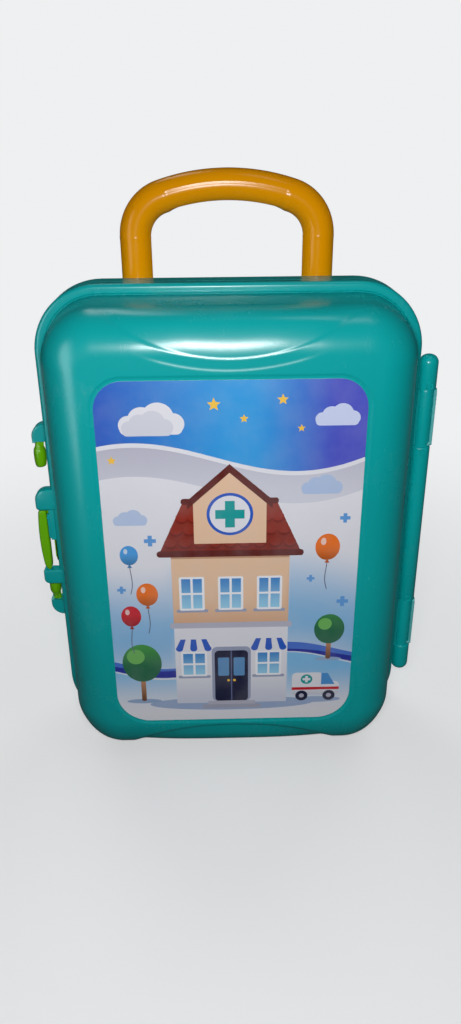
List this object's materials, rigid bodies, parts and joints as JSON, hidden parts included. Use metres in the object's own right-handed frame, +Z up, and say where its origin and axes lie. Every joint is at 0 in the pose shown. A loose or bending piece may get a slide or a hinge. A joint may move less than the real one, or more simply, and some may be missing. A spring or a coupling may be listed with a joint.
{
  "type": "toy doctor case",
  "caption": "Upright child's carry case of two hinged half shells with a swinging side clasp, a carry handle on top and a printed front label.",
  "frame": {"origin": "on the base, midway across the case, in the plane where the two shells meet", "axes": "+X towards the hinge side, +Y towards the back, +Z up"},
  "size_m": [0.212, 0.089, 0.3096],
  "materials": {
    "teal_shell": "semi-gloss moulded polypropylene",
    "orange_handle": "glossy moulded polypropylene",
    "lime_clasp": "semi-gloss moulded polypropylene",
    "printed_label": "satin printed film"
  },
  "bodies": {
    "case": {"rear_shell": "teal_shell", "carry_handle": "orange_handle"},
    "lid": {"front_shell": "teal_shell", "front_label": "printed_label"},
    "clasp": {"clasp": "lime_clasp"}
  },
  "joints": [
    {"name": "lid_hinge", "type": "hinge", "parent": "case", "child": "lid", "pos_m": [0.1017, 0, 0.13], "axis": [0, 0, 1], "range_deg": [0, 180]},
    {"name": "clasp_pivot", "type": "hinge", "parent": "case", "child": "clasp", "pos_m": [-0.1007, 0.0044, 0.13], "axis": [0, 0, -1], "range_deg": [0, 100]}
  ]
}
